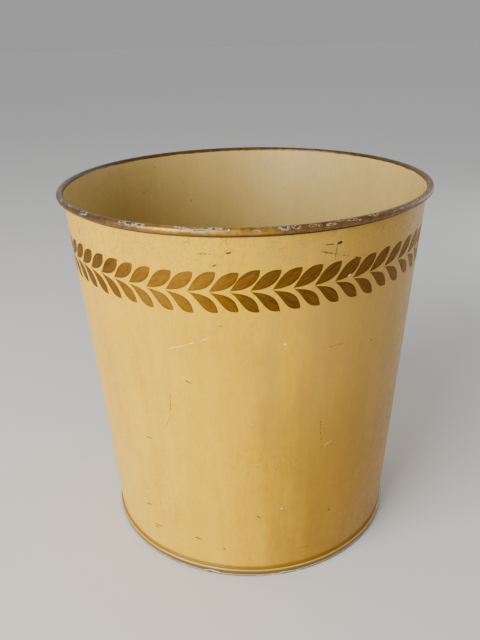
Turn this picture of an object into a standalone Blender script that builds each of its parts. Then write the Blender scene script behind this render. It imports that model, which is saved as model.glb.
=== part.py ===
"""Painted sheet-steel wastebasket: a rolled and tapered wall, a pressed bottom and a wired rim.

Metres, +Z up. The basket stands on z = 0 with its axis on Z, and its lap seam is at +Y, the back.
"""

import math

import bmesh
import bpy

for old in list(bpy.data.objects):
    bpy.data.objects.remove(old)

# Driving dimensions
HEIGHT = 0.309  # floor to the top of the rim bead
RIM_RADIUS = 0.1525  # to the outside of the rim bead
FOOT_RADIUS = 0.129  # to the outside of the base seam
SHEET = 0.0006  # thickness of the steel sheet
GAP = 0.0003  # clearance between folded layers
RIM_BEAD = 0.00275  # outer radius of the curl round the wire
CURL_END = math.radians(-118)  # the curl stops short of the wall, measured from straight outward

SEAM_HEIGHT = 0.0075  # height of the bead round the foot
SEAM_DEPTH = 0.0024  # how far that bead stands out from the wall
SEAM_SHOULDER = 0.0013  # bend radius of its top edge
SEAM_HEEL = 0.0010  # bend radius of its bottom edge

FLOOR_HEIGHT = 0.010  # underside of the raised floor
FLOOR_BEND = 0.0026  # bend radius where the floor turns down
RING_RADIUS = 0.086  # pressed stiffening ring in the floor
RING_WIDTH = 0.007
RING_RISE = 0.0014

LAP_WIDTH = 0.009  # where one end of the wall's sheet lies over the other
LAP_STEP = 0.0004  # width of the step at each side of the lap
LAP_MARGIN = 0.001  # the lap stops this far from the base seam and from the curl
LAP_CLEAR = 0.4  # an even angle nearer than this share of a facet to a lap edge is left out

AROUND = 64  # facets round the basket
CURL_FACETS = 10  # facets along each bend of the sheet
KNEE_FACETS = 2
FLOOR_FACETS = 3
HEEL_FACETS = 2
SHOULDER_FACETS = 3
WIRE_SIDES = 8
SHARP_FROM = math.radians(40)  # edges sharper than this stay creased
HALF = SHEET / 2

PAINT_YELLOW = (0.62, 0.42, 0.16)
PAINT_WORN = (0.52, 0.34, 0.13)
BARE_STEEL = (0.33, 0.32, 0.31)


def finish(name, colour, roughness, metallic):
    """One Principled material."""
    material = bpy.data.materials.new(name)
    material.use_nodes = True
    shader = material.node_tree.nodes["Principled BSDF"]
    shader.inputs["Base Color"].default_value = (*colour, 1)
    shader.inputs["Roughness"].default_value = roughness
    shader.inputs["Metallic"].default_value = metallic
    return material


def arc(centre, radius, start, end, steps):
    """Points on an arc in the (radius, height) plane."""
    angles = [start + (end - start) * i / steps for i in range(steps + 1)]
    return [(centre[0] + radius * math.cos(a), centre[1] + radius * math.sin(a)) for a in angles]


def ribbon(line, thickness):
    """A closed section: the line with half the thickness on each side of it."""
    left, right = [], []
    for i, (r, z) in enumerate(line):
        before, after = line[max(i - 1, 0)], line[min(i + 1, len(line) - 1)]
        run = (after[0] - before[0], after[1] - before[1])
        length = math.hypot(*run)
        across = (-run[1] / length * thickness / 2, run[0] / length * thickness / 2)
        left.append((r + across[0], z + across[1]))
        right.append((r - across[0], z - across[1]))
    return left + right[::-1]


def turned(name, section, material, angles, push=None):
    """Turns a closed section round Z. push(radius, height, angle, point) gives the radius to use."""
    shape = bmesh.new()
    rings = []
    for i, (r, z) in enumerate(section):
        if r < 1e-9:
            rings.append([shape.verts.new((0, 0, z))] * len(angles))
            continue
        radii = [push(r, z, a, i) if push else r for a in angles]
        rings.append([shape.verts.new((q * math.cos(a), q * math.sin(a), z)) for q, a in zip(radii, angles)])
    for i in range(len(rings)):
        lower, upper = rings[i], rings[(i + 1) % len(rings)]
        for j in range(len(angles)):
            k = (j + 1) % len(angles)
            corners = list(dict.fromkeys((lower[j], lower[k], upper[k], upper[j])))
            if len(corners) > 2:
                shape.faces.new(corners)
    bmesh.ops.recalc_face_normals(shape, faces=shape.faces)
    mesh = bpy.data.meshes.new(name)
    shape.to_mesh(mesh)
    shape.free()
    mesh.shade_smooth()
    mesh.set_sharp_from_angle(angle=SHARP_FROM)
    mesh.materials.append(material)
    piece = bpy.data.objects.new(name, mesh)
    bpy.context.collection.objects.link(piece)
    return piece


def even_angles():
    return [2 * math.pi * i / AROUND for i in range(AROUND)]


def lap_angles():
    """The even angles, with the lap's middle and the edges of its two steps put in for near ones."""
    middle = math.pi / 2
    half = LAP_WIDTH / 2 / RIM_RADIUS
    step = LAP_STEP / RIM_RADIUS
    edges = [middle - half - step, middle - half, middle + half, middle + half + step]
    clear = LAP_CLEAR * 2 * math.pi / AROUND
    kept = [a for a in even_angles() if min(abs(a - e) for e in edges) > clear]
    return sorted(kept + edges + [middle])


# Places worked out from the driving dimensions, as (radius, height)
rim_centre = (RIM_RADIUS - RIM_BEAD, HEIGHT - RIM_BEAD)
curl_radius = RIM_BEAD - HALF
flange_height = SHEET + GAP + HALF
wall_foot = (FOOT_RADIUS - SEAM_DEPTH - HALF, flange_height)

# The wall runs straight up from its foot and meets the curl at a tangent.
to_rim = (rim_centre[0] - wall_foot[0], rim_centre[1] - wall_foot[1])
slope = math.atan2(*to_rim) - math.asin(curl_radius / math.hypot(*to_rim))


def wall_radius(height):
    """Radius of the middle of the wall's sheet."""
    return wall_foot[0] + (height - wall_foot[1]) * math.tan(slope)


def body_wall():
    """The rolled sheet: flange under the base seam, straight taper, curl round the rim wire."""
    flange_end = FOOT_RADIUS - SHEET - GAP
    bend = SHEET
    knee = (wall_radius(flange_height) + bend, flange_height + bend)
    line = [(flange_end, flange_height)]
    line += arc(knee, bend, math.radians(-90), math.radians(-180) - slope, KNEE_FACETS)
    curl = arc(rim_centre, curl_radius, math.pi - slope, CURL_END, CURL_FACETS)
    low, high = SEAM_HEIGHT + LAP_MARGIN, curl[0][1] - LAP_MARGIN
    heights = [low, low + LAP_STEP, high - LAP_STEP, high]
    line += [(wall_radius(z), z) for z in heights]
    lapped = {len(line) - 3, len(line) - 2}
    line += curl
    section = ribbon(line, SHEET)
    outer = {len(section) - 1 - i for i in lapped}

    def lap(r, z, angle, point):
        over = abs(angle - math.pi / 2) < (LAP_WIDTH / 2 + LAP_STEP / 2) / RIM_RADIUS
        return r + SHEET if over and point in outer else r

    return turned("body_wall", section, finish("yellow_paint", PAINT_YELLOW, 0.35, 0.0), lap_angles(), lap)


def bottom_pan():
    """The pressed bottom: raised floor, skirt inside the wall, flat foot, and the bead over the flange."""
    inset = HALF + GAP + HALF
    floor = FLOOR_HEIGHT + HALF
    skirt_top = wall_radius(floor - FLOOR_BEND) - inset
    skirt_bottom = wall_radius(HALF + SEAM_HEEL) - inset
    outer = FOOT_RADIUS - HALF
    top = SEAM_HEIGHT - HALF
    quarter = math.pi / 2

    line = [(0, floor)]
    line += [(RING_RADIUS - RING_WIDTH / 2, floor), (RING_RADIUS - RING_WIDTH / 4, floor + RING_RISE)]
    line += [(RING_RADIUS + RING_WIDTH / 4, floor + RING_RISE), (RING_RADIUS + RING_WIDTH / 2, floor)]
    line += arc((skirt_top - FLOOR_BEND, floor - FLOOR_BEND), FLOOR_BEND, quarter, 0, FLOOR_FACETS)
    heel = HALF + SEAM_HEEL
    line += arc((skirt_bottom + SEAM_HEEL, heel), SEAM_HEEL, 2 * quarter, 3 * quarter, HEEL_FACETS)
    line += arc((outer - SEAM_HEEL, heel), SEAM_HEEL, -quarter, 0, HEEL_FACETS)
    line += arc((outer - SEAM_SHOULDER, top - SEAM_SHOULDER), SEAM_SHOULDER, 0, quarter, SHOULDER_FACETS)
    section = ribbon(line, SHEET)
    section[0], section[-1] = (0, floor + HALF), (0, floor - HALF)
    return turned("bottom_pan", section, finish("worn_yellow_paint", PAINT_WORN, 0.42, 0.0), even_angles())


def rim_wire():
    """The steel wire inside the rim bead."""
    radius = RIM_BEAD - SHEET - GAP
    section = arc(rim_centre, radius, 0, 2 * math.pi, WIRE_SIDES)[:-1]
    return turned("rim_wire", section, finish("bare_steel", BARE_STEEL, 0.45, 1.0), even_angles())


body_wall()
bottom_pan()
rim_wire()
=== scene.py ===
"""A round painted sheet-steel wastebasket with a gilt rim and a painted band of leaves.

Metres, +Z up, the basket's axis on Z. Angles go round the axis from the front (-Y) towards +X.
"""

import math

import bmesh
import bpy
import numpy as np
from mathutils import Matrix, Vector


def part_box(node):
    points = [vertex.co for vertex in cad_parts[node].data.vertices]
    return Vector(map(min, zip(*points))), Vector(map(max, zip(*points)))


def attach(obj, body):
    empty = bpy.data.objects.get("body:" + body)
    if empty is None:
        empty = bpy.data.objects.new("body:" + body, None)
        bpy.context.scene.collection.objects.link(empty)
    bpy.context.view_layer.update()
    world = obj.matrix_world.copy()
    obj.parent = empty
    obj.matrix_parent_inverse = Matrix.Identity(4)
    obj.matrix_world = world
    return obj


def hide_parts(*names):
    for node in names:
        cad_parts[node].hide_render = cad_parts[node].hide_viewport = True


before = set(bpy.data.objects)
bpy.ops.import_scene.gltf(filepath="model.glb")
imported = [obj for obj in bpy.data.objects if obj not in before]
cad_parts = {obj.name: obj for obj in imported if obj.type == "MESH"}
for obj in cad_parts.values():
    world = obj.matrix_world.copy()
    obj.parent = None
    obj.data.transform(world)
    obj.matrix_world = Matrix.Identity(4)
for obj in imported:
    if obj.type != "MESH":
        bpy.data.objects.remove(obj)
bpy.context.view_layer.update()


# ---- The wall ------------------------------------------------------------------------------
# One sheet of thin steel, rolled to a taper, lapped and soldered at the back. Its top edge is
# curled outward over a wire, and its bottom edge turns out into the seam round the foot.
# Thin sheet is never quite round, so it carries a slight oval, soft waves and shallow dents.

rim_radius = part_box("body_wall")[1].x
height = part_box("body_wall")[1].z
foot_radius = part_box("bottom_pan")[1].x
mean_radius = 0.14
sheet = 0.0006
fold_gap = 0.0003
bead_radius = 0.00275
curl_end = math.radians(-118)
seam_depth = 0.0024
seam_height = 0.0075
around = 480

lap_width = 0.009
lap_step = 0.0003
lap_paint_ramp = 0.0012

# the most that the sheet stands off a true cone, for two, three and seven lobes round it and a ripple
oval = 0.0009
three_lobes = 0.00022
seven_lobes = 0.00012
ripple = 0.00006

# angle in degrees, height, spread and depth in millimetres
dents = [(-62, 205, 26, 0.45), (34, 96, 34, 0.4), (-18, 60, 22, 0.25), (128, 150, 40, 0.6),
         (-140, 90, 30, 0.5), (70, 250, 24, 0.3)]

bead_centre = (rim_radius - bead_radius, height - bead_radius)
curl_radius = bead_radius - sheet / 2
wall_foot = (foot_radius - seam_depth - sheet / 2, sheet * 1.5 + fold_gap)
to_rim = (bead_centre[0] - wall_foot[0], bead_centre[1] - wall_foot[1])
slope = math.atan2(*to_rim) - math.asin(curl_radius / math.hypot(*to_rim))

even_turn = np.linspace(-math.pi, math.pi, around, endpoint=False)
lap_half = lap_width / 2 / mean_radius
lap_ramp = lap_paint_ramp / mean_radius
lap_edge = math.pi - lap_half + np.array([-1.0, 0.01]) * lap_step / mean_radius
lap_turn = np.unique(np.concatenate([even_turn, lap_edge, -lap_edge]))


def middle_radius(z):
    """Radius of the middle of the sheet on the straight wall."""
    return wall_foot[0] + (z - wall_foot[1]) * math.tan(slope)


def out_of_round(angle, z):
    """How far the sheet stands out from a true cone."""
    up = np.clip(z / height, 0, 1)
    push = -oval * up * np.cos(2 * angle)
    push = push + three_lobes * np.sin(3 * angle + 0.7 + 2.0 * up) + seven_lobes * np.sin(7 * angle + 5 * up)
    push = push + ripple * np.sin(13 * angle - 9 * up) * np.sin(math.pi * up)
    for turn, rise, spread, depth in dents:
        apart = (angle - math.radians(turn) + math.pi) % (2 * math.pi) - math.pi
        near = (apart * middle_radius(z)) ** 2 + (z - rise / 1000) ** 2
        push = push - depth / 1000 * np.exp(-near / (spread / 1000) ** 2)
    return push


def on_wall(angle, z, lift=0.0):
    """Points on the outside of the wall, up over its lap at the back, or lifted off it."""
    from_back = np.abs((angle + 2 * math.pi) % (2 * math.pi) - math.pi)
    over_lap = np.clip((lap_half + lap_ramp - from_back) / lap_ramp, 0, 1)
    r = middle_radius(z) + sheet / 2 + out_of_round(angle, z) + lift + sheet * over_lap
    return np.stack([r * np.sin(angle), -r * np.cos(angle), z + 0 * r], -1)


def arc(centre, radius, start, end, steps):
    """Points on an arc in the (radius, height) plane."""
    turn = np.linspace(start, end, steps + 1)
    return np.stack([centre[0] + radius * np.cos(turn), centre[1] + radius * np.sin(turn)], -1)


def two_faces(line, thickness):
    """The line offset by half the thickness to its left, and to its right."""
    run = np.gradient(line, axis=0)
    across = np.stack([-run[:, 1], run[:, 0]], -1) / np.linalg.norm(run, axis=1)[:, None]
    return line + across * thickness / 2, line - across * thickness / 2


def turned(name, section, slots, materials, turn, lapped=()):
    """Turns a closed section round Z through the angles in turn. slots holds each section edge's
    material number, and lapped the section points that stand out by one sheet along the lap."""
    angle, r = np.meshgrid(turn, section[:, 0])
    z = np.repeat(section[:, 1][:, None], len(turn), axis=1)
    over = np.isin(np.arange(len(section)), lapped)[:, None] & (np.abs(angle) > math.pi - lap_half)
    stand_out = out_of_round(angle, z) * np.minimum(1, r / foot_radius) + sheet * over
    r = np.where(r > 1e-6, r + stand_out, 0)
    points = np.stack([r * np.sin(angle), -r * np.cos(angle), z], -1).reshape(-1, 3)
    rows, faces, numbers = len(section), [], []
    for i in range(rows):
        low, high = i * len(turn), (i + 1) % rows * len(turn)
        for j in range(len(turn)):
            k = (j + 1) % len(turn)
            faces.append((low + j, low + k, high + k, high + j))
            numbers.append(slots[i])
    mesh = bpy.data.meshes.new(name)
    mesh.from_pydata(points.tolist(), [], faces)
    for material in materials:
        mesh.materials.append(material)
    mesh.polygons.foreach_set("material_index", numbers)
    shape = bmesh.new()
    shape.from_mesh(mesh)
    bmesh.ops.remove_doubles(shape, verts=shape.verts, dist=1e-7)
    bmesh.ops.recalc_face_normals(shape, faces=shape.faces)
    shape.to_mesh(mesh)
    shape.free()
    mesh.shade_smooth()
    mesh.set_sharp_from_angle(angle=math.radians(45))
    piece = bpy.data.objects.new(name, mesh)
    bpy.context.collection.objects.link(piece)
    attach(piece, "root")
    return piece


class Nodes:
    """A short way to write a node tree: each call adds one node or a few, and gives back an output."""

    def __init__(self, tree):
        self.tree = tree

    def add(self, kind, sockets=None, out=0, **settings):
        node = self.tree.nodes.new(kind)
        for name, value in settings.items():
            setattr(node, name, value)
        for name, value in (sockets or {}).items():
            self.put(node.inputs[name], value)
        return node.outputs[out]

    def put(self, socket, value):
        if isinstance(value, bpy.types.NodeSocket):
            self.tree.links.new(value, socket)
        elif isinstance(value, (tuple, list)) and socket.type == "RGBA":
            socket.default_value = (*value, 1)
        else:
            socket.default_value = value

    def math(self, operation, a, b=0.0, clamp=False):
        return self.add("ShaderNodeMath", {0: a, 1: b}, operation=operation, use_clamp=clamp)

    def total(self, *parts):
        """The sum of (value, weight) pairs."""
        summed = None
        for value, weight in parts:
            part = self.math("MULTIPLY", value, weight)
            summed = part if summed is None else self.math("ADD", summed, part)
        return summed

    def left(self, mask):
        """What a mask leaves uncovered."""
        return self.math("SUBTRACT", 1, mask)

    def vector(self, operation, a, b=(0, 0, 0), out="Vector"):
        return self.add("ShaderNodeVectorMath", {0: a, 1: b}, out, operation=operation)

    def scaled(self, vector, by):
        return self.vector("MULTIPLY", vector, by)

    def dot(self, a, b):
        return self.vector("DOT_PRODUCT", a, b, "Value")

    def place(self):
        return self.add("ShaderNodeTexCoord", out="Object")

    def up(self, vector):
        return self.add("ShaderNodeSeparateXYZ", {"Vector": vector}, "Z")

    def outward(self, place):
        """The level direction from the axis out to a place."""
        return self.vector("NORMALIZE", self.scaled(place, (1, 1, 0)))

    def noise(self, vector, scale, detail=4.0, rough=0.55):
        return self.add("ShaderNodeTexNoise",
                        {"Vector": vector, "Scale": scale, "Detail": detail, "Roughness": rough})

    def ragged(self, vector, by, scale, detail=4.0, rough=0.55, middle=0.5):
        """Noise about zero, which breaks up the edge of a mark."""
        about_zero = self.math("SUBTRACT", self.noise(vector, scale, detail, rough), middle)
        return self.math("MULTIPLY", about_zero, by)

    def step(self, value, low, high, to_low=0.0, to_high=1.0):
        """Goes smoothly from to_low to to_high as value goes from low to high."""
        return self.add("ShaderNodeMapRange", {"Value": value, "From Min": low, "From Max": high,
                                               "To Min": to_low, "To Max": to_high},
                        interpolation_type="SMOOTHSTEP")

    def mix(self, amount, a, b, blend="MIX"):
        return self.add("ShaderNodeMix", {0: amount, 6: a, 7: b}, 2, data_type="RGBA", blend_type=blend)

    def cover(self, tone, colour, mask, share, blend="MIX"):
        """Lays a colour over a tone where the mask is, as thickly as share says."""
        return self.mix(self.math("MULTIPLY", mask, share), tone, colour, blend)

    def lerp(self, amount, a, b):
        return self.add("ShaderNodeMix", {0: amount, 2: a, 3: b}, 0, data_type="FLOAT")

    def bump(self, relief, depth):
        return self.add("ShaderNodeBump", {"Height": relief, "Distance": depth})

    def group(self, tree, sockets):
        node = self.tree.nodes.new("ShaderNodeGroup")
        node.node_tree = tree
        for name, value in sockets.items():
            self.put(node.inputs[name], value)
        return node.outputs

    def results(self, values):
        ends = self.tree.nodes.new("NodeGroupOutput").inputs
        for name, value in values.items():
            self.put(ends[name], value)


def material(name):
    """A new material, its nodes and its Principled shader."""
    made = bpy.data.materials.new(name)
    made.use_nodes = True
    return made, Nodes(made.node_tree), made.node_tree.nodes["Principled BSDF"]


def effect(name, inputs, outputs):
    """A new node group with named sockets, its nodes and what it is given."""
    tree = bpy.data.node_groups.new(name, "ShaderNodeTree")
    for in_out, sockets in (("INPUT", inputs), ("OUTPUT", outputs)):
        for socket, kind in sockets.items():
            tree.interface.new_socket(socket, in_out=in_out, socket_type="NodeSocket" + kind)
    return tree, Nodes(tree), tree.nodes.new("NodeGroupInput").outputs


# Shared effect: one mark at a place on the surface, such as a nick, chip or scratch. Its field is
# over 0 inside the mark and 1 in its middle.
one_mark, n, given = effect("one_mark",
                            {"Place": "Vector", "Middle": "Vector", "Along": "Vector",
                             "Half Length": "Float", "Half Width": "Float"},
                            {"Field": "Float"})
away = n.vector("SUBTRACT", given["Place"], given["Middle"])
along = n.dot(away, given["Along"])
along_squared = n.math("MULTIPLY", along, along)
aside_squared = n.math("SUBTRACT", n.dot(away, away), along_squared)
stretched = n.math("DIVIDE", along_squared, n.math("POWER", given["Half Length"], 2))
widened = n.math("DIVIDE", aside_squared, n.math("POWER", given["Half Width"], 2))
distance = n.math("SQRT", n.math("MAXIMUM", n.math("ADD", stretched, widened), 0))
n.results({"Field": n.left(distance)})


def marks(n, place, ragged, places):
    """The field of several marks together. Each place is (middle, along, half length, half width)."""
    field = None
    for middle, along, half_length, half_width in places:
        one = n.group(one_mark, {"Place": place, "Middle": middle, "Along": along,
                                 "Half Length": half_length, "Half Width": half_width})["Field"]
        field = one if field is None else n.math("MAXIMUM", field, one)
    return n.math("ADD", field, ragged)


def wall_mark(turn, rise, length, width, tilt=0, lift=0.0):
    """A mark on the wall: degrees round, millimetres up, its size in millimetres, its tilt in
    degrees. It is on the outside, or with a negative lift on the inside."""
    angle, z = math.radians(turn), rise / 1000
    middle = on_wall(angle, np.float64(z), lift)
    level = np.array([math.cos(angle), math.sin(angle), 0])
    lean = math.sin(slope)
    upward = np.array([lean * math.sin(angle), -lean * math.cos(angle), math.cos(slope)])
    along = level * math.cos(math.radians(tilt)) + upward * math.sin(math.radians(tilt))
    return tuple(middle), tuple(along), length / 2000, width / 2000


# Shared effect: brushed oil paint that has aged. Vertical brush streaks and a soft uneven glaze go
# from a light colour to a deep one, with fine cracks, pinholes and pale flecks.
fleck_cream = (0.85, 0.78, 0.58)

aged_paint, n, given = effect("aged_paint",
                              {"Place": "Vector", "Light": "Color", "Deep": "Color", "Dirt": "Color",
                               "Glaze": "Float", "Cracks": "Float", "Gloss": "Float"},
                              {"Color": "Color", "Roughness": "Float", "Height": "Float"})
place = given["Place"]
broad = n.step(n.noise(n.scaled(place, (1, 1, 0.30)), 26, 3), 0.32, 0.68)
streak = n.step(n.noise(n.scaled(place, (1, 1, 0.06)), 190, 4, 0.65), 0.3, 0.7)
fine = n.step(n.noise(n.scaled(place, (1, 1, 0.05)), 900, 3, 0.7), 0.36, 0.64)
cloud = n.step(n.noise(place, 110, 7, 0.75), 0.34, 0.66)
brushed = n.total((broad, 0.40), (streak, 0.22), (fine, 0.22), (cloud, 0.26))
tone = n.cover(given["Light"], given["Deep"], brushed, given["Glaze"])
wander = n.add("ShaderNodeTexNoise", {"Vector": place, "Scale": 160, "Detail": 2}, "Color")
bent = n.vector("ADD", place, n.scaled(wander, (0.004, 0.004, 0.004)))
net = n.add("ShaderNodeTexVoronoi", {"Vector": n.scaled(bent, (1, 1, 0.8)), "Scale": 330},
            feature="DISTANCE_TO_EDGE")
patchy = n.step(n.noise(place, 300, 4, 0.6), 0.46, 0.62)
line = n.math("MULTIPLY", n.left(n.step(net, 0.01, 0.13)), patchy)
crack = n.math("MULTIPLY", line, given["Cracks"], clamp=True)
dots = n.add("ShaderNodeTexVoronoi", {"Vector": place, "Scale": 260}, feature="F1")
pinhole = n.math("MULTIPLY", n.left(n.step(dots, 0.10, 0.17)), n.step(n.noise(place, 120, 2), 0.60, 0.66))
elsewhere = n.vector("ADD", place, (3, 1, 2))
fleck = n.math("MULTIPLY", n.left(n.step(dots, 0.09, 0.14)), n.step(n.noise(elsewhere, 90, 2), 0.66, 0.70))
tone = n.cover(tone, given["Dirt"], crack, 0.75)
tone = n.cover(tone, given["Dirt"], pinhole, 0.6)
tone = n.cover(tone, fleck_cream, fleck, 0.5)
rough = n.math("ADD", given["Gloss"], n.total((cloud, 0.10), (crack, 0.25)))
relief = n.total((fine, 0.10), (streak, 0.25), (cloud, 0.15), (crack, -0.5), (pinhole, -0.6))
n.results({"Color": tone, "Roughness": rough, "Height": relief})


# Shared effect: bronze-gold paint over cream primer over steel. Where the chip field is over 0 the
# paint is gone down to the primer, and further in it is gone down to dull grey or rusted steel.
bronze_gold = (0.46, 0.245, 0.022)
pooled_bronze = (0.150, 0.066, 0.008)
flake_gold = (0.50, 0.285, 0.030)
rubbed_gold = (0.44, 0.30, 0.12)
primer_cream = (0.56, 0.47, 0.28)
primer_grimy = (0.32, 0.29, 0.20)
dull_steel = (0.12, 0.112, 0.090)
rusted_steel = (0.115, 0.055, 0.024)

chipped_gilt, n, given = effect("chipped_gilt",
                                {"Place": "Vector", "Chips": "Float", "Wear": "Float"},
                                {"Color": "Color", "Metallic": "Float", "Roughness": "Float",
                                 "Height": "Float"})
place = given["Place"]
flakes = n.step(n.noise(place, 1500, 3, 0.7), 0.3, 0.7)
pooled = n.step(n.noise(place, 210, 5, 0.65), 0.32, 0.68)
gold = n.mix(pooled, bronze_gold, pooled_bronze)
gold = n.cover(gold, flake_gold, flakes, 0.30)
rubbing = n.math("ADD", n.noise(place, 330, 6, 0.75), n.math("MULTIPLY", given["Wear"], 0.25))
rubbed = n.step(rubbing, 0.62, 0.70)
gold = n.cover(gold, rubbed_gold, rubbed, 0.4)
small = n.math("SUBTRACT", n.noise(place, 380, 5, 0.7),
               n.math("SUBTRACT", 0.76, n.math("MULTIPLY", given["Wear"], 0.20)))
chips = n.math("MAXIMUM", given["Chips"], n.math("MULTIPLY", small, 4.0))
primer = n.step(chips, 0.0, 0.12)
pitted = n.ragged(place, 2.2, 460, 4, 0.7)
deep = n.math("ADD", n.math("MULTIPLY", chips, 0.7), pitted)
bare = n.math("MULTIPLY", primer, n.step(deep, 0.26, 0.42))
primer_tone = n.mix(n.step(n.noise(place, 640, 4), 0.35, 0.65), primer_cream, primer_grimy)
steel = n.mix(n.step(n.noise(place, 260, 4), 0.45, 0.62), dull_steel, rusted_steel)
tone = n.mix(bare, n.mix(primer, gold, primer_tone), steel)
metallic = n.math("ADD", n.math("MULTIPLY", n.left(primer), 0.62), n.math("MULTIPLY", bare, 0.5), clamp=True)
rough = n.lerp(primer, n.lerp(rubbed, 0.34, 0.5), 0.62)
rough = n.lerp(bare, rough, 0.48)
relief = n.total((pooled, 0.2), (flakes, 0.08), (primer, -0.7), (bare, -0.5))
n.results({"Color": tone, "Metallic": metallic, "Roughness": rough, "Height": relief})


# Outside of the wall: mustard oil paint, antiqued, deeper on one side, where painted shade deepens the
# glaze and a pale painted reflection lies near the edge. It has nicks down to the dark steel, dotted
# cracks, pale scratches and a few white specks.
mustard = (0.785, 0.462, 0.006)
deep_mustard = (0.60, 0.325, 0.003)
green_mustard = (0.66, 0.46, 0.025)
crack_grime = (0.20, 0.10, 0.005)
amber_glaze_and_shade = (0.56, 0.46, 0.40)
painted_pale_reflection = (0.50, 0.45, 0.34)
rim_amber = (0.56, 0.32, 0.015)
groove_grime_and_shade = (0.17, 0.09, 0.012)
scratch_cream = (0.93, 0.78, 0.46)
speck_white = (0.92, 0.86, 0.72)
dotted_brown = (0.10, 0.05, 0.02)
nick_black = (0.035, 0.022, 0.015)

dark_nicks = [wall_mark(*mark) for mark in (
    (-5, 291, 4.5, 1.5, 15), (-9, 282, 3.5, 1.1, 30), (25, 292, 4.5, 2.2, 10), (41, 207, 2.5, 1.1),
    (-19, 189, 6.5, 0.9, -20), (2, 64, 4.5, 1.1, -45), (29, 56, 2, 1.7), (-8, 237, 1.5, 1.1, -20),
    (-39, 33, 11, 1.2, 5), (-40, 30, 7, 1, 5), (-21, 35, 6.5, 1.2, -10), (-43, 52, 10, 1.1, 15),
    (-37, 127, 7, 0.9), (-11, 28, 2, 1.6), (137, 211, 6, 1.6, -30), (166, 93, 9, 1, 12),
    (-118, 181, 5, 2, 50), (-150, 263, 4, 1.6), (95, 61, 7, 1.1, -15), (-95, 41, 8, 0.9, 8),
    (112, 289, 5, 2.4))]
dotted_cracks = [wall_mark(*mark) for mark in (
    (-12, 290, 10, 1), (27, 213, 20, 0.6), (22, 292, 10, 1, -10), (22, 286, 12, 1.1, -15),
    (27, 282, 10, 1, -15), (32, 278, 10, 1, -20), (24, 285, 14, 0.8, -95), (23, 141, 22, 1, -85),
    (-26, 168, 19, 0.7, -95), (-28, 148, 11, 0.7, -115), (20, 23, 15, 0.8, -5),
    (-128, 285, 16, 1.2, 8), (150, 131, 24, 1, 80))]
pale_scratches = [wall_mark(*mark) for mark in (
    (-21, 218, 31, 0.9, 20), (-13, 226, 11, 0.8, 30), (-17, 222, 6, 1.3, 10), (26, 126, 11, 0.8, 20),
    (-20, 192, 8, 0.7, -15), (-38, 35, 7, 0.6, 5), (101, 151, 40, 0.8, 65), (-165, 121, 26, 0.8, -30))]
white_specks = [wall_mark(*mark) for mark in (
    (-25, 48, 1.5, 1.1, 80), (10, 71, 2.6, 2), (10, 221, 2.6, 2.2), (0, 155, 1.7, 1.3),
    (-26, 96, 1.6, 1.2), (-38, 85, 1.6, 1.2), (-22, 190, 1.6, 0.8))]

yellow_paint, n, shader = material("yellow_paint")
place = n.place()
jagged = n.ragged(place, 1.3, 800, 3)
broken = n.ragged(place, 5.0, 620, 2, middle=0.51)
rise = n.up(place)
crazed = n.math("ADD", n.step(n.noise(place, 14, 2), 0.45, 0.7, 0.05, 0.5),
                n.step(rise, height - 0.050, height - 0.008, 0, 0.7))
paint = n.group(aged_paint, {"Place": place, "Light": mustard, "Deep": deep_mustard,
                             "Dirt": crack_grime, "Glaze": 1.0, "Cracks": crazed, "Gloss": 0.30})
# Painted shade and reflection: the side turned from the window is darkened with amber over the glaze, and a
# pale painted reflection is laid over it.
side = n.dot(n.outward(place), (0.87, -0.49, 0))
drift = n.ragged(n.scaled(place, (1, 1, 0.15)), 0.55, 34, 4, 0.6)
glaze_shade_side = n.step(n.math("ADD", side, drift), 0.46, 0.78)
runs = n.scaled(n.vector("ADD", place, (5, 2, 1)), (1, 1, 0.12))
greenish = n.step(n.noise(runs, 48, 3), 0.50, 0.66)
tone = n.cover(paint["Color"], green_mustard, greenish, 0.35)
tone = n.cover(tone, amber_glaze_and_shade, glaze_shade_side, n.step(rise, 0.10, 0.25, 0.92, 0.62), "MULTIPLY")
tone = n.cover(tone, painted_pale_reflection, glaze_shade_side, n.step(rise, 0.08, 0.24, 0.02, 0.13))
under_rim = n.step(rise, height - 0.040, height - 0.005)
tone = n.cover(tone, rim_amber, under_rim, 0.22)
# Painted shade with some grime: a dark band in the groove just above the foot bead.
in_groove = n.step(rise, seam_height + 0.0034, seam_height + 0.0008)
tone = n.cover(tone, groove_grime_and_shade, in_groove, 0.85)
nick = n.step(marks(n, place, jagged, dark_nicks), -0.05, 0.20)
dotted = n.step(marks(n, place, broken, dotted_cracks), 0.10, 0.45)
scratch = n.step(marks(n, place, jagged, pale_scratches), 0.05, 0.5)
speck = n.step(marks(n, place, n.math("MULTIPLY", jagged, 0.6), white_specks), 0.1, 0.5)
tone = n.cover(tone, scratch_cream, scratch, 0.65)
tone = n.cover(tone, speck_white, speck, 0.6)
tone = n.cover(tone, dotted_brown, dotted, 0.9)
tone = n.mix(nick, tone, nick_black)
broken_skin = n.math("MAXIMUM", n.math("MAXIMUM", nick, n.math("MULTIPLY", dotted, 0.6)), scratch)
n.put(shader.inputs["Base Color"], tone)
n.put(shader.inputs["Roughness"], n.lerp(broken_skin, paint["Roughness"], 0.6))
n.put(shader.inputs["Normal"], n.bump(paint["Height"], 0.00006))
shader.inputs["Specular IOR Level"].default_value = 0.3
shader.inputs["Specular Tint"].default_value = (1.0, 0.80, 0.35, 1)
shader.inputs["Coat Weight"].default_value = 0.08
shader.inputs["Coat Roughness"].default_value = 0.12

# Inside of the wall: cream paint, matter and less worn, with the rim's gilding brought a little
# way down over it to a wavy hand-painted edge.
cream = (0.60, 0.435, 0.140)
deep_cream = (0.50, 0.345, 0.095)
cream_grime = (0.13, 0.075, 0.03)
floor_soil = (0.24, 0.15, 0.06)
stain_brown = (0.13, 0.085, 0.04)

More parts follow.
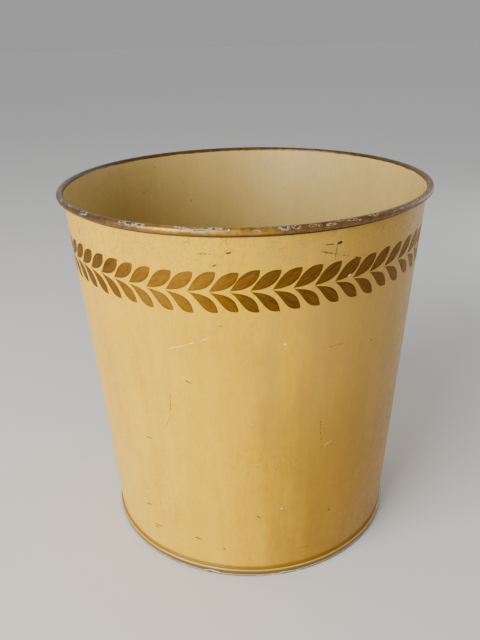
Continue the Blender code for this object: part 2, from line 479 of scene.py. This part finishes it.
inside_spots = [wall_mark(*mark, lift=-sheet) for mark in (
    (-143, 297, 3, 2.4), (-137, 274, 3, 2.6), (-158, 259, 3, 3), (171, 290, 2.4, 1.6),
    (163, 268, 2, 1.6), (118, 240, 3, 1.8), (-60, 180, 3.4, 2.2), (20, 120, 3, 2.4))]

cream_paint, n, shader = material("cream_paint")
place = n.place()
rise = n.up(place)
paint = n.group(aged_paint, {"Place": n.vector("ADD", place, (0.3, 0.2, 0.1)), "Light": cream,
                             "Deep": deep_cream, "Dirt": cream_grime, "Glaze": 0.8,
                             "Cracks": 0.15, "Gloss": 0.42})
gilt = n.group(chipped_gilt, {"Place": place, "Chips": -1.0, "Wear": 0.6})
wavy = n.ragged(place, 0.0032, 75, 4, 0.6)
gilded = n.step(n.math("ADD", rise, wavy), height - 0.0031, height - 0.0027)
soiled = n.math("MULTIPLY", n.step(rise, 0.045, 0.010), n.step(n.noise(place, 60, 5, 0.7), 0.35, 0.75))
tone = n.cover(paint["Color"], floor_soil, soiled, 0.4)
stain = n.step(marks(n, place, n.ragged(place, 1.2, 700, 3), inside_spots), 0.0, 0.7)
tone = n.cover(tone, stain_brown, stain, 0.55)
n.put(shader.inputs["Base Color"], n.mix(gilded, tone, gilt["Color"]))
n.put(shader.inputs["Metallic"], n.math("MULTIPLY", gilded, gilt["Metallic"]))
n.put(shader.inputs["Roughness"], n.lerp(gilded, paint["Roughness"], gilt["Roughness"]))
relief = n.math("ADD", paint["Height"], n.math("MULTIPLY", gilded, 0.6))
n.put(shader.inputs["Normal"], n.bump(relief, 0.00006))

# The rim bead: gilded by hand over the primer, and knocked along its top and outer side. It is
# painted brightest at the front as a painted highlight, duller round the sides as tarnish with
# painted shade, and dark in the corner under the curl as a painted shadow with some grime.
dull_shade_tint = (0.25, 0.24, 0.25)
warm_highlight_tint = (0.46, 0.37, 0.30)
curl_grime_and_shadow = (0.030, 0.018, 0.008)


def rim_mark(turn, roll, length, width):
    """A chip on the bead: degrees round, degrees from straight outward up over the bead, its size in mm."""
    angle, over = math.radians(turn), math.radians(roll)
    r = bead_centre[0] + bead_radius * math.cos(over) - oval * math.cos(2 * angle)
    middle = (r * math.sin(angle), -r * math.cos(angle), bead_centre[1] + bead_radius * math.sin(over))
    return middle, (math.cos(angle), math.sin(angle), 0), length / 2000, width / 2000


rim_chips = [rim_mark(*chip) for chip in (
    (-58, 75, 8, 1.8), (-49, 60, 9, 3.6), (-44, 92, 5, 1), (-40, 94, 12, 0.9), (-34, 60, 4, 2.6),
    (-31, 50, 13, 3.4), (-28, 40, 7, 3.2), (-17, 72, 7, 3.2), (-15, 38, 6, 2), (-12, 25, 13, 2.6),
    (-8, 58, 8, 3.6), (-5, 45, 3, 2), (6, 70, 4, 1.6), (9, 56, 8, 4.4), (12, 50, 7, 3.8),
    (16, 45, 6, 1.8), (18, 30, 4, 1.6), (21, 25, 8, 1.8), (24, 70, 8, 2), (27, 50, 9, 2.2),
    (29, 25, 5, 1.4), (33, 62, 4, 1.6), (35, 66, 6, 3.2), (42, 60, 6, 2.6), (45, 40, 6, 1.8),
    (48, 64, 5, 2.4), (52, 45, 7, 2), (56, 65, 8, 2.4), (61, 50, 7, 2.2), (66, 70, 8, 2.6),
    (-66, 55, 6, 1.6), (-80, 60, 5, 1.6), (84, 55, 9, 2.2), (104, 60, 12, 2.4), (131, 50, 8, 2),
    (158, 60, 10, 2.2), (-170, 55, 7, 1.8), (-146, 60, 9, 2), (-121, 50, 8, 1.8), (-102, 62, 8, 1.8),
    (2, 15, 5, 1.2))]

gilt_paint, n, shader = material("gilt_paint")
place = n.place()
jagged = n.ragged(place, 2.6, 330, 6, 0.75)
level = n.outward(place)
wear = n.step(n.dot(level, (0.92, -0.39, 0)), 0.70, 0.98, 0.2, 0.8)
gilt = n.group(chipped_gilt, {"Place": place, "Chips": marks(n, place, jagged, rim_chips), "Wear": wear})
# Painted highlight and shade: the gilding facing the front keeps its bright colour, and round the sides it
# is tinted duller and darker.
front = n.step(n.dot(level, (-0.16, -0.987, 0)), 0.93, 0.985)
# Painted shadow with some grime: the underside of the bead, in the corner under the curl, is darkened.
under = n.step(n.up(place), bead_centre[1] - 0.0013, bead_centre[1] - 0.0025)
dulled_and_shaded = n.math("MULTIPLY", n.left(front), n.step(gilt["Metallic"], 0.1, 0.6, 0.35, 1.0))
tarnish_and_shade = n.math("MAXIMUM", dulled_and_shaded, n.math("MULTIPLY", under, 0.9))
warm = n.step(n.dot(level, (0.35, -0.94, 0)), 0.35, 0.80)
tone = n.mix(tarnish_and_shade, gilt["Color"], n.mix(warm, dull_shade_tint, warm_highlight_tint), "MULTIPLY")
metallic = n.math("MULTIPLY", gilt["Metallic"], n.left(n.math("MULTIPLY", tarnish_and_shade, 0.5)))
n.put(shader.inputs["Base Color"], n.cover(tone, curl_grime_and_shadow, under, 0.75))
n.put(shader.inputs["Metallic"], metallic)
n.put(shader.inputs["Roughness"], gilt["Roughness"])
n.put(shader.inputs["Normal"], n.bump(gilt["Height"], 0.00018))

flange_end = foot_radius - sheet - fold_gap
knee = (middle_radius(wall_foot[1]) + sheet, wall_foot[1] + sheet)
curl = arc(bead_centre, curl_radius, math.pi - slope, curl_end, 28)
bend = arc(knee, sheet, -math.pi / 2, -math.pi - slope, 4)
fillet = 0.0022
fillet_foot = seam_height - sheet
fillet_rows = 9
wall_rows = 62
wall_rise = np.concatenate([[fillet_foot],
                            np.linspace(fillet_foot + 0.0001, seam_height + fillet, fillet_rows),
                            np.linspace(seam_height + fillet, curl[0][1], wall_rows)[1:-1]])
straight = np.stack([middle_radius(wall_rise), wall_rise], -1)
sheet_line = np.concatenate([[(flange_end, wall_foot[1])], bend, straight, curl])
inner, outer = two_faces(sheet_line, sheet)
section = np.concatenate([inner, outer[::-1]])
first_curl = len(sheet_line) - len(curl)
outside_slot, inside_slot, rim_slot = range(3)
slots = []
for i in range(len(section)):
    along = i if i < len(inner) else len(section) - 1 - i
    painted = inside_slot if i < len(inner) else outside_slot
    slots.append(rim_slot if along >= first_curl else painted)

# Paint and solder fill the corner above the foot bead, and the lap shows as a flat strip at the back.
outside = np.arange(len(inner), len(section))
rise = section[:, 1]
from_bead = (rise - fillet_foot) / fillet
in_fillet = outside[(from_bead[outside] > 0) & (from_bead[outside] < 1)]
section[in_fillet, 0] += fillet * (1 - np.sqrt(1 - (1 - from_bead[in_fillet]) ** 2))
curl_bottom = bead_centre[1] - bead_radius
lapped = outside[(rise[outside] > seam_height + fillet) & (rise[outside] < curl_bottom)]
painted_wall = turned("painted_wall", section, slots, [yellow_paint, cream_paint, gilt_paint],
                      lap_turn, lapped)
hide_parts("body_wall")


# ---- The band of leaves --------------------------------------------------------------------
# Sixty pairs of leaves painted freehand in bronze-gold below the rim, each a single loaded brush
# stroke that stands a little proud of the yellow and is darker where the paint pooled at its edge.
# Leaves facing the front, a little to the left, are painted brighter as a painted highlight.

leaf_pairs = 60
band_height = 0.2637
band_start = math.radians(0.3)
paint_lift = 0.00008
# Each leaf: how far it starts above the joint, its length, its tilt, and for its upper and lower
# side how far it swells, as a share of the length, with the two powers that shape the swelling.
leaf_kinds = ((0.0000, 0.0256, 34.9, (0.170, 1.35, 0.90), (0.210, 1.12, 0.85)),
              (-0.0002, 0.0257, -36.6, (0.212, 1.40, 1.02), (0.143, 2.40, 1.00)))
# The spacing drifts where the painter ran ahead of the count: degrees round, spread and shift.
spacing_drifts = ((-14, 9, 0.9), (13, 8, -0.4), (57, 12, 2.3), (139, 15, -1.1), (-97, 18, 1.0))
# The band sags or climbs where the hand slipped off the line: degrees round, spread, drop in metres.
height_drifts = ((-27, 17, 0.0018), (52, 17, -0.0024), (118, 14, 0.0010), (-150, 20, 0.0012))
# No two leaves are alike: how far a joint strays in degrees and metres, and a tilt in degrees.
stray_turn = 0.12
stray_rise = 0.0003
stray_tilt = 1.2
# Bristle marks follow each stroke: how close they are across it and along it, and how far their
# pattern shifts for each point already made, so that no two leaves match.
bristles_across = 900
bristles_along = 60
bristle_shift = 0.37

leaf_bronze = (0.112, 0.049, 0.006)
leaf_highlight_bronze = (0.22, 0.100, 0.004)
leaf_pooled = (0.105, 0.044, 0.002)
bristle_gold = (0.34, 0.150, 0.008)
leaf_outline = (0.08, 0.038, 0.006)
rubbed_primer = (0.80, 0.74, 0.62)


def swelling(share, side):
    """Half-width of one side of a leaf along its length, as a share of the length."""
    width, rising, falling = side
    peak = rising / (rising + falling)
    return width * share ** rising * (1 - share) ** falling / (peak ** rising * (1 - peak) ** falling)


rng = np.random.default_rng(11)
points, faces, edge, strokes = [], [], [], []
share = (1 - np.cos(np.linspace(0, math.pi, 25))) / 2
across = np.array([1.0, 1.0, 0.93, 0.55, 0.0, -0.55, -0.93, -1.0, -1.0])
lifted = np.array([-0.8, 0.9, 1.25, 1.0, 1.0, 1.0, 1.25, 0.9, -0.8]) * paint_lift
for pair in range(leaf_pairs):
    turn = math.remainder(math.degrees(band_start) + 360 * pair / leaf_pairs, 360)
    for middle, spread, shift in spacing_drifts:
        turn += shift * math.exp(-((turn - middle) / spread) ** 2)
    joint = math.radians(turn + rng.uniform(-stray_turn, stray_turn))
    joint_height = band_height + rng.uniform(-stray_rise, stray_rise)
    for middle, spread, drop in height_drifts:
        joint_height -= drop * math.exp(-((turn - middle) / spread) ** 2)
    for over, length, tilt, upper_side, lower_side in leaf_kinds:
        length = length * rng.uniform(0.975, 1.02)
        tilt = math.radians(tilt + rng.uniform(-stray_tilt, stray_tilt))
        plump = rng.uniform(0.96, 1.04)
        upper, lower = swelling(share, upper_side)[:, None], swelling(share, lower_side)[:, None]
        width = np.where(across[None, :] > 0, upper, lower)
        aside = width * across[None, :] * length * plump
        forward = share[:, None] * length + 0 * aside
        u = forward * math.cos(tilt) - aside * math.sin(tilt)
        v = over + forward * math.sin(tilt) + aside * math.cos(tilt)
        z = joint_height + v * math.cos(slope)
        made = on_wall(joint + u / (middle_radius(joint_height) + sheet / 2), z, lifted[None, :])
        first = len(points)
        points.extend(made.reshape(-1, 3).tolist())
        edge.extend((np.abs(across)[None, :] + 0 * aside).ravel().tolist())
        stroke = [aside * bristles_across, forward * bristles_along, 0 * aside + first * bristle_shift]
        strokes.extend(np.stack(stroke, -1).ravel().tolist())
        rows, columns = made.shape[:2]
        for i in range(rows - 1):
            for j in range(columns - 1):
                a = first + i * columns + j
                faces.append((a, a + columns, a + columns + 1, a + 1))

leaf_mesh = bpy.data.meshes.new("painted_leaves")
leaf_mesh.from_pydata(points, [], faces)
leaf_mesh.attributes.new("edge", "FLOAT", "POINT").data.foreach_set("value", edge)
leaf_mesh.attributes.new("stroke", "FLOAT_VECTOR", "POINT").data.foreach_set("vector", strokes)
shape = bmesh.new()
shape.from_mesh(leaf_mesh)
bmesh.ops.remove_doubles(shape, verts=shape.verts, dist=1e-6)
shape.to_mesh(leaf_mesh)
shape.free()
leaf_mesh.shade_smooth()

rubs = [wall_mark(29, 266, 5, 2.4, 50), wall_mark(28, 264, 3, 1.6, 20)]
leaf_paint, n, shader = material("leaf_paint")
place = n.place()
outline = n.step(n.add("ShaderNodeAttribute", out="Fac", attribute_name="edge"), 0.55, 1.0)
blotch = n.step(n.noise(place, 260, 4, 0.6), 0.35, 0.65)
stroke = n.add("ShaderNodeAttribute", out="Vector", attribute_name="stroke")
bristled = n.step(n.noise(stroke, 1.3, 4, 0.8), 0.42, 0.58)
# Painted highlight: leaves facing the front, a little to the left, get a brighter bronze.
painted_highlight = n.step(n.dot(n.outward(place), (-0.36, -0.93, 0)), 0.92, 1.0)
tone = n.mix(painted_highlight, leaf_bronze, leaf_highlight_bronze)
tone = n.cover(tone, leaf_pooled, blotch, 0.40)
tone = n.cover(tone, bristle_gold, bristled, 0.42)
tone = n.cover(tone, leaf_outline, outline, 0.45)
rubbed = n.step(marks(n, place, n.ragged(place, 1.6, 500, 4), rubs), 0.2, 0.4)
n.put(shader.inputs["Base Color"], n.mix(rubbed, tone, rubbed_primer))
n.put(shader.inputs["Metallic"], n.math("MULTIPLY", n.left(rubbed), 0.75))
n.put(shader.inputs["Roughness"], n.lerp(blotch, 0.36, 0.44))
n.put(shader.inputs["Normal"], n.bump(n.math("ADD", bristled, n.math("MULTIPLY", blotch, 0.3)), 0.00005))
shader.inputs["Specular Tint"].default_value = (1.0, 0.80, 0.60, 1)
leaf_mesh.materials.append(leaf_paint)
painted_leaves = bpy.data.objects.new("painted_leaves", leaf_mesh)
bpy.context.collection.objects.link(painted_leaves)
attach(painted_leaves, "root")


# ---- The bottom ----------------------------------------------------------------------------
# One pressed steel disc. It stands inside the wall, turns out under the wall's flange and is
# closed up round it, which makes the bead that the basket stands on.

floor_height = 0.010 + sheet / 2
floor_bend = 0.0026
heel = 0.0010
shoulder = 0.0016
ring_radius = 0.086
ring_half_width = 0.0045
ring_relief = 0.0014
inset = sheet + fold_gap
skirt_top = middle_radius(floor_height - floor_bend) - inset
skirt_foot = middle_radius(sheet / 2 + heel) - inset
seam_out = foot_radius - sheet / 2
seam_top = seam_height - sheet / 2
quarter = math.pi / 2

pressing = np.linspace(-1, 1, 13)
floor_ring = np.stack([ring_radius + ring_half_width * pressing,
                       floor_height + ring_relief / 2 * (1 + np.cos(math.pi * pressing))], -1)
outer_heel = arc((seam_out - heel, sheet / 2 + heel), heel, -quarter, 0, 5)
outer_shoulder = arc((seam_out - shoulder, seam_top - shoulder), shoulder, 0, quarter, 8)
pan_line = np.concatenate([
    [(0, floor_height), (0.03, floor_height), (0.06, floor_height)],
    floor_ring,
    [(0.1, floor_height), (0.112, floor_height)],
    arc((skirt_top - floor_bend, floor_height - floor_bend), floor_bend, quarter, 0, 8),
    arc((skirt_foot + heel, sheet / 2 + heel), heel, 2 * quarter, 3 * quarter, 5),
    outer_heel,
    outer_shoulder,
])
above, below = two_faces(pan_line, sheet)
above[0], below[0] = (0, floor_height + sheet / 2), (0, floor_height - sheet / 2)
section = np.concatenate([above, below[::-1]])

# The bead is painted with the wall. Its heel is worn to primer and steel where it stands and scrapes,
# and its side below the shoulder is darkened as painted shade.
seam_mustard = (0.84, 0.49, 0.018)
deep_seam_mustard = (0.66, 0.35, 0.008)
seam_grime = (0.16, 0.08, 0.02)
seam_side_shade = (0.085, 0.048, 0.005)
worn_primer = (0.66, 0.56, 0.38)
scraped_steel = (0.20, 0.17, 0.15)
heel_rust = (0.20, 0.10, 0.05)


def seam_mark(turn, rise, length, width):
    """A worn spot on the seam bead: degrees round, millimetres up, its size in millimetres."""
    angle = math.radians(turn)
    middle = (foot_radius * math.sin(angle), -foot_radius * math.cos(angle), rise / 1000)
    return middle, (math.cos(angle), math.sin(angle), 0), length / 2000, width / 2000


seam_chips = [seam_mark(*chip) for chip in (
    (-16, 2.0, 16, 3.4), (-12, 0.8, 20, 2.4), (11, 1.6, 14, 2.8), (16, 0.8, 10, 2.0),
    (33, 0.8, 9, 1.8), (-38, 0.6, 12, 1.8), (64, 1.2, 12, 2.6), (-75, 1.4, 16, 3.0),
    (110, 1.5, 20, 3.2), (150, 1.0, 12, 2.6), (-160, 2.2, 14, 3.4), (-118, 1.0, 22, 2.4))]

seam_paint, n, shader = material("seam_paint")
place = n.place()
rise = n.up(place)
paint = n.group(aged_paint, {"Place": place, "Light": seam_mustard, "Deep": deep_seam_mustard,
                             "Dirt": seam_grime, "Glaze": 1.2, "Cracks": 0.3, "Gloss": 0.30})
uneven = n.ragged(place, 1.6, 240, 5, 0.7)
scraped = n.math("ADD", n.step(rise, 0.0036, 0.0014, -0.9, 0.70), uneven)
worn = n.math("MAXIMUM", scraped, marks(n, place, uneven, seam_chips))
primer = n.step(worn, 0.0, 0.12)
bare = n.step(worn, 0.42, 0.62)
# Painted shade: the side of the bead below its shoulder is darkened.
side_shade_mask = n.step(rise, seam_height - 0.0007, seam_height - 0.0024)
steel = n.mix(n.step(n.noise(place, 320, 4), 0.4, 0.6), scraped_steel, heel_rust)
tone = n.cover(paint["Color"], seam_side_shade, side_shade_mask, 0.92)
tone = n.mix(primer, tone, worn_primer)
n.put(shader.inputs["Base Color"], n.mix(bare, tone, steel))
n.put(shader.inputs["Metallic"], n.math("MULTIPLY", bare, 0.5))
n.put(shader.inputs["Roughness"], n.lerp(primer, paint["Roughness"], 0.55))
n.put(shader.inputs["Normal"], n.bump(n.total((paint["Height"], 1.0), (primer, -1.2)), 0.00008))
shader.inputs["Coat Weight"].default_value = 0.35
shader.inputs["Coat Roughness"].default_value = 0.12

# The underside was never finished: thin overspray over steel that has begun to rust.
yellow_overspray = (0.40, 0.27, 0.10)
grey_overspray = (0.26, 0.21, 0.15)
underside_rust = (0.14, 0.055, 0.022)
scuffed_steel = (0.42, 0.40, 0.37)

underside, n, shader = material("underside")
place = n.place()
spotted = n.noise(place, 55, 8, 0.7)
sprayed = n.mix(n.step(n.noise(place, 18, 4, 0.6), 0.35, 0.65), yellow_overspray, grey_overspray)
rust = n.step(spotted, 0.54, 0.66)
scuff = n.step(n.noise(n.scaled(place, (0.25, 1, 1)), 420, 3, 0.7), 0.62, 0.70)
tone = n.cover(sprayed, underside_rust, rust, 0.85)
n.put(shader.inputs["Base Color"], n.cover(tone, scuffed_steel, scuff, 0.4))
n.put(shader.inputs["Metallic"], n.math("MULTIPLY", scuff, 0.4))
n.put(shader.inputs["Roughness"], n.lerp(rust, 0.48, 0.85))
n.put(shader.inputs["Normal"], n.bump(n.math("ADD", spotted, n.math("MULTIPLY", rust, 0.5)), 0.0001))

first_outside = len(pan_line) - len(outer_heel) - len(outer_shoulder)
seam_slot, floor_slot, underside_slot = range(3)
slots = []
for i in range(len(section)):
    along = i if i < len(above) else len(section) - 1 - i
    beneath = seam_slot if along >= first_outside else underside_slot
    slots.append(floor_slot if i < len(above) else beneath)
pressed_bottom = turned("pressed_bottom", section, slots, [seam_paint, cream_paint, underside], even_turn)
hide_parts("bottom_pan")


# ---- The rim wire --------------------------------------------------------------------------
# Drawn steel wire that the rim is curled over. It follows the rim's slight oval, and only the gap
# under the bead shows it.

wire_radius = bead_radius - sheet - fold_gap
wire_section = arc(bead_centre, wire_radius, 0, 2 * math.pi, 16)[:-1]
drawn_steel = (0.22, 0.21, 0.20)
wire_rust = (0.13, 0.055, 0.025)

wire_steel, n, shader = material("wire_steel")
place = n.place()
rust = n.step(n.noise(place, 160, 5, 0.7), 0.45, 0.62)
n.put(shader.inputs["Base Color"], n.mix(rust, drawn_steel, wire_rust))
n.put(shader.inputs["Metallic"], n.left(rust))
n.put(shader.inputs["Roughness"], n.lerp(rust, 0.42, 0.85))
n.put(shader.inputs["Normal"], n.bump(n.noise(place, 900, 4), 0.00005))
drawn_wire = turned("drawn_wire", wire_section, [0] * len(wire_section), [wire_steel], even_turn)
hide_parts("rim_wire")


# ---- Floor, light and camera ---------------------------------------------------------------
# A plain pale floor, one large soft window-like light from the left, a small weak one that fills
# the far side, and a pale surround that is brightest behind the basket.

pale_floor = (0.76, 0.75, 0.73)
reach = 12.0

floor_mesh = bpy.data.meshes.new("floor")
floor_mesh.from_pydata([(-reach, -reach, 0), (reach, -reach, 0), (reach, reach, 0), (-reach, reach, 0)],
                       [], [(0, 1, 2, 3)])
floor = bpy.data.objects.new("floor", floor_mesh)
bpy.context.collection.objects.link(floor)
floor_finish, n, shader = material("floor_finish")
n.put(shader.inputs["Base Color"], pale_floor)
shader.inputs["Roughness"].default_value = 0.8
floor_mesh.materials.append(floor_finish)

dim_side = (0.24, 0.225, 0.205)
window_side = (0.50, 0.51, 0.52)
bright_back = (1.1, 1.1, 1.1)
overhead = (0.38, 0.39, 0.41)
low_down = (0.58, 0.58, 0.58)
floor_edge = (0.37, 0.37, 0.37)

world = bpy.data.worlds.new("surround")
bpy.context.scene.world = world
world.use_nodes = True
n = Nodes(world.node_tree)
direction = n.add("ShaderNodeTexCoord", out="Generated")
upward = n.up(direction)
towards_window = n.step(n.dot(direction, (-0.70, -0.71, 0)), -0.2, 1.0)
behind = n.step(n.dot(direction, (0.34, 0.94, 0)), -0.1, 0.9)
glow = n.mix(towards_window, dim_side, window_side)
glow = n.mix(behind, glow, bright_back)
glow = n.mix(n.step(upward, 0.30, 0.85), glow, overhead)
glow = n.mix(n.step(upward, 0.40, 0.0), glow, low_down)
glow = n.mix(n.step(upward, 0.16, 0.02), glow, floor_edge)
background = world.node_tree.nodes["Background"]
n.put(background.inputs["Color"], glow)
background.inputs["Strength"].default_value = 1.0


def soft_light(name, turn, rise, distance, size, power, colour):
    """A square area light aimed at the middle of the basket."""
    lamp = bpy.data.lights.new(name, "AREA")
    lamp.size = size
    lamp.energy = power
    lamp.color = colour
    made = bpy.data.objects.new(name, lamp)
    bpy.context.collection.objects.link(made)
    turn, rise = math.radians(turn), math.radians(rise)
    away = Vector((math.sin(turn) * math.cos(rise), -math.cos(turn) * math.cos(rise), math.sin(rise)))
    made.location = away * distance + Vector((0, 0, height / 2))
    made.rotation_mode = "QUATERNION"
    made.rotation_quaternion = away.to_track_quat("Z", "Y")


soft_light("window", turn=-44, rise=21, distance=1.7, size=1.3, power=56, colour=(1.0, 0.98, 0.95))
soft_light("fill", turn=122, rise=9, distance=1.4, size=0.5, power=4, colour=(1.0, 1.0, 1.0))

camera_place = (-0.0065, -0.5753, 0.4311)
camera_down = 23.6
camera_roll = -1.49
camera_lens = bpy.data.cameras.new("camera")
camera = bpy.data.objects.new("camera", camera_lens)
bpy.context.collection.objects.link(camera)
bpy.context.scene.camera = camera
camera_lens.sensor_width = 36
camera_lens.lens = 38.85
camera.matrix_world = (Matrix.Translation(camera_place)
                       @ Matrix.Rotation(math.radians(90 - camera_down), 4, "X")
                       @ Matrix.Rotation(math.radians(camera_roll), 4, "Z"))
